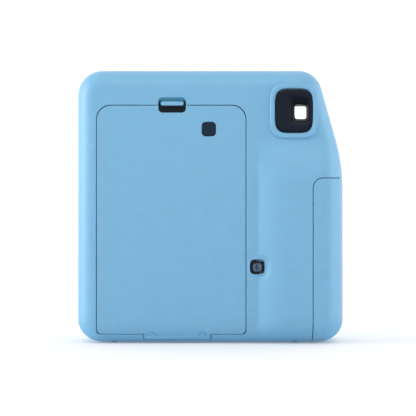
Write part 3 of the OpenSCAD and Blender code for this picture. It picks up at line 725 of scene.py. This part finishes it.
panel = [at_y(super_loop(FINDER, 17.2 - 2 * i, 20.2 - 2 * i, 4.0), BACK + y)
         for i, y in [(0, 1.0), (0, -0.55), (0.1, -0.8), (0.3, -0.95), (0.6, -1.0), (1.6, -0.98)]]
panel += [at_y(frame_loop(g), BACK + y)
          for g, y in [(0.9, -0.96), (0.35, -0.9), (0.1, -0.75), (0, -0.5), (0, 1.0)]]
loft("eyepiece_panel_face", panel, "body", navy, "navy_gloss", ["eyepiece_panel"], wrap=True)


def opening_loop(grow):
    return super_loop(OPENING, 5.5 + grow, 6.7 + grow, 5.0)


surround = [at_y(frame_loop(g), BACK + y)
            for g, y in [(-0.06, 0.9), (-0.06, -0.62), (-0.3, -0.76), (-0.8, -0.78)]]
surround += [at_y(opening_loop(g), BACK + y)
             for g, y in [(1.6, -0.62), (0.5, -0.35), (0.1, -0.1), (0, 0.2), (0, 0.9)]]
loft("eyepiece_surround", surround, "body", jet, "black_plastic", ["eyepiece_frame"], wrap=True)

# ---------------------------------------------------------------- film counter
rim = []
for grow, y in [(1.5, 0.2), (1.35, -0.04), (1.0, -0.16), (0.6, -0.18), (0.25, -0.12), (0.06, 0.0), (0, 0.2),
                (0, 0.5)]:
    rim.append(at_y(super_loop(COUNTER, 6.8 + grow, 6.9 + grow, 3.4, 72), BACK + y))
loft("counter_rim", rim, "body", shell_blue, "shell_blue")
slab("counter_pane", round_loop(COUNTER, 6.7, 6.8, 1.95), BACK + 0.3, BACK + 1.3, "body", tinted,
     "clear_glass", ["counter_window"], bevel=0.2)
dial_profile = [(1.3, 3.4), (1.3, 2.4), (11.4, 2.4), (11.8, 2.5), (12.0, 2.7), (12.0, 3.2), (11.8, 3.4)]
turned("counter_disc", DIAL, [(r, BACK + y) for r, y in dial_profile], "counter_dial", matt_navy,
       "navy_gloss", ["counter_dial"])
arm = float(np.linalg.norm(COUNTER - DIAL))
for value in range(11):
    angle = 180 + (6 - value) * 30 + 1.8
    spot = DIAL + arm * unit(angle)
    patch = super_loop([0, 0], 4.0, 3.7, 3.6, 32)
    turn = radians(angle - 180)
    spin = np.array([[cos(turn), -sin(turn)], [sin(turn), cos(turn)]])
    slab(f"counter_patch_{value}", patch @ spin.T + spot, BACK + 2.32, BACK + 2.42, "counter_dial", paper,
         "white_plastic", bevel=0)
    text = bpy.data.curves.new(f"counter_number_{value}", "FONT")
    text.body = str(value)
    text.size = 3.9 * MM
    text.extrude = 0.04 * MM
    text.align_x = "CENTER"
    text.align_y = "CENTER"
    text.materials.append(ink)
    number = bpy.data.objects.new(f"counter_number_{value}", text)
    bpy.context.collection.objects.link(number)
    number.location = Vector((spot[0], BACK + 2.29, spot[1])) * MM
    number.rotation_euler = (pi / 2, -turn, 0)
    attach(number, "counter_dial")

# ---------------------------------------------------------------- front
turned("lens_base_turned", LENS, [
    (23.3, 3.6), (25.0, 3.6), (25.0, FRONT), (31.0, FRONT), (31.0, FRONT + 2.4), (30.85, FRONT + 2.9),
    (30.4, FRONT + 3.4), (29.8, FRONT + 3.6), (25.0, FRONT + 3.6), (25.0, 25.6), (24.85, 25.85), (24.6, 25.9),
    (23.5, 25.9), (23.3, 25.7)], "body", white, "white_plastic", ["lens_base"])
ring_lo, ring_hi = box_mm("lens_ring")
t = np.linspace(0, 2 * pi, 720, endpoint=False)
rings = []
for r, y, ridge in [(25.15, ring_lo[1], 0), (29.2, ring_lo[1], 0.4), (29.9, ring_lo[1] + 0.5, 1),
                    (30.0, ring_lo[1] + 0.9, 1),
                    (30.0, ring_hi[1] - 1.2, 1), (29.8, ring_hi[1] - 0.6, 1), (29.3, ring_hi[1] - 0.15, 0.6),
                    (28.7, ring_hi[1], 0), (25.6, ring_hi[1], 0), (25.15, ring_hi[1] - 0.3, 0)]:
    radius = r - ridge * 0.5 * np.cos(15 * t) ** 8
    rings.append(at_y(LENS + np.stack([radius * np.cos(t), radius * np.sin(t)], 1), y))
loft("lens_ring_turned", rings, "lens_ring", pale, "pale_blue_plastic", ["lens_ring"], wrap=True)
turned("lens_barrel_turned", LENS, [(21.2, 4), (23.2, 4), (23.2, 28), (21.2, 28)], "lens_barrel", white,
       "white_plastic", ["lens_barrel"])
turned("lens_bezel_turned", LENS, [
    (8.2, 23.5), (11, 23.5), (11, 26), (21.1, 26), (21.1, 28), (23.2, 28), (23.2, 29.0), (23.1, 29.4),
    (22.85, 29.75), (22.4, 29.95), (21.8, 30), (13.4, 30), (12.9, 29.9), (12.5, 29.6), (9.9, 28.2), (9.3, 28),
    (8.4, 28), (8.2, 27.8)],
    "lens_barrel", black, "black_plastic", ["lens_bezel"])
glass = [(8.1, 24.0), (8.1, 26.3)]
glass += [(r, 26.35 + 1.65 * (1 - (r / 8.1) ** 2)) for r in np.linspace(8.0, 0, 14)]
turned("front_glass", LENS, glass + [(0, 24)], "lens_barrel", clear, "clear_glass", ["front_lens"])
mirror_y = box_mm("selfie_mirror")[1][1]
dome = [(4.0, mirror_y - 0.5), (4.0, mirror_y - 0.35)]
dome += [(r, mirror_y - 0.35 * (r / 4) ** 2) for r in np.linspace(3.9, 0, 10)]
turned("mirror_dome", centre_xz("selfie_mirror"), dome + [(0, mirror_y - 0.5)], "lens_barrel", mirror,
       "mirror", ["selfie_mirror"], n=64)
turned("button_turned", BUTTON, [
    (0, 2.9), (1.5, 2.9), (1.5, 8), (7, 8), (7, 15.6), (6.9, 16.1), (6.6, 16.5), (6.1, 16.8), (5.2, 17.0),
    (4.0, 16.9), (2.0, 16.75), (0, 16.7)], "shutter_button", pale, "pale_blue_plastic", ["shutter_button"])
slab("flash_pane", round_loop(FLASH, 26.8, 14.8, 2.9), FRONT - 1.6, FRONT + 0.2, "body", frosted, "diffuser",
     ["flash_window"], bevel=0.35)
slab("sensor_pane", round_loop(SENSOR, 9.8, 5.8, 2.8), FRONT - 1.6, FRONT - 0.3, "body", smoked,
     "smoked_window", ["sensor_window"], bevel=0.25)
slab("viewfinder_pane", round_loop(OPENING, 12.8, 11.8, 1.9), FRONT - 1.6, FRONT - 0.4, "body", clear,
     "clear_glass", ["viewfinder_window"], bevel=0.2)

# ---------------------------------------------------------------- stage, light and camera
floor_mat = finish("floor_white", (0.8, 0.8, 0.8), 0.9, mottle=0.004, relief=0.0)
floor_shader = floor_mat.node_tree.nodes["Principled BSDF"].inputs
floor_shader["Emission Color"].default_value = (1, 1, 1, 1)
floor_shader["Emission Strength"].default_value = 0.14
mesh = bpy.data.meshes.new("floor")
near, far = 8, 1.4
mesh.from_pydata([(-near, -near, 0), (near, -near, 0), (near, far, 0), (-near, far, 0)], [], [(0, 1, 2, 3)])
mesh.materials.append(floor_mat)
floor = bpy.data.objects.new("floor", mesh)
bpy.context.collection.objects.link(floor)
floor.visible_glossy = False

world = bpy.data.worlds.new("studio")
world.use_nodes = True
bpy.context.scene.world = world
tree = world.node_tree
direction = tree.nodes.new("ShaderNodeTexCoord")
split = tree.nodes.new("ShaderNodeSeparateXYZ")
tree.links.new(direction.outputs["Generated"], split.inputs["Vector"])


def band(axis, low, high, dark, light):
    """Colour that changes between two values of one axis of the direction."""
    node = tree.nodes.new("ShaderNodeMapRange")
    node.inputs["From Min"].default_value = low
    node.inputs["From Max"].default_value = high
    node.inputs["To Min"].default_value = dark
    node.inputs["To Max"].default_value = light
    tree.links.new(split.outputs[axis], node.inputs["Value"])
    return node.outputs["Result"]


sky = tree.nodes.new("ShaderNodeMix")
sky.data_type = "RGBA"
sky.inputs["A"].default_value = (0.1, 0.3, 0.45, 1)
sky.inputs["B"].default_value = (1, 1, 1, 1)
tree.links.new(band("Z", -0.12, -0.04, 0.0, 1.0), sky.inputs["Factor"])
dome = tree.nodes.new("ShaderNodeMix")
dome.data_type = "RGBA"
dome.inputs["B"].default_value = (0.6, 0.62, 0.64, 1)
tree.links.new(band("Z", 0.3, 0.85, 0.0, 1.0), dome.inputs["Factor"])
tree.links.new(sky.outputs["Result"], dome.inputs["A"])
tree.links.new(dome.outputs["Result"], tree.nodes["Background"].inputs["Color"])
tree.links.new(band("Y", -0.9, 0.1, 0.36, 1.32), tree.nodes["Background"].inputs["Strength"])


def softbox(name, location, target, width, height, watts, colour=(1, 1, 1)):
    light = bpy.data.lights.new(name, "AREA")
    light.shape = "RECTANGLE"
    light.size = width
    light.size_y = height
    light.energy = watts
    light.color = colour
    obj = bpy.data.objects.new(name, light)
    obj.location = location
    obj.rotation_euler = (Vector(target) - Vector(location)).to_track_quat("-Z", "Y").to_euler()
    obj.visible_camera = False
    bpy.context.collection.objects.link(obj)


aim = (0, -0.02, 0.063)
softbox("key_left", (-1.1, -0.2, 0.25), aim, 0.7, 0.9, 9.6, (1.0, 0.95, 0.93))
softbox("rim_right", (1.1, -0.2, 0.25), aim, 0.5, 0.9, 2.6)
softbox("front_fill", (0.1, -1.1, 1.1), aim, 1.4, 0.6, 5.1)
softbox("overhead", (0, 0.1, 1.2), aim, 1.2, 1.0, 0.8)
softbox("far_side", (0.2, 1.3, 0.5), aim, 1.2, 0.8, 1.5)

camera_data = bpy.data.cameras.new("camera")
camera_data.sensor_width = 36
camera_data.lens = 148.9
camera_data.clip_end = 50
camera = bpy.data.objects.new("camera", camera_data)
camera.location = (-0.0011, -0.818, 0.0625)
camera.rotation_euler = (pi / 2, 0, 0)
bpy.context.collection.objects.link(camera)
bpy.context.scene.camera = camera
bpy.context.scene.view_settings.view_transform = "Standard"
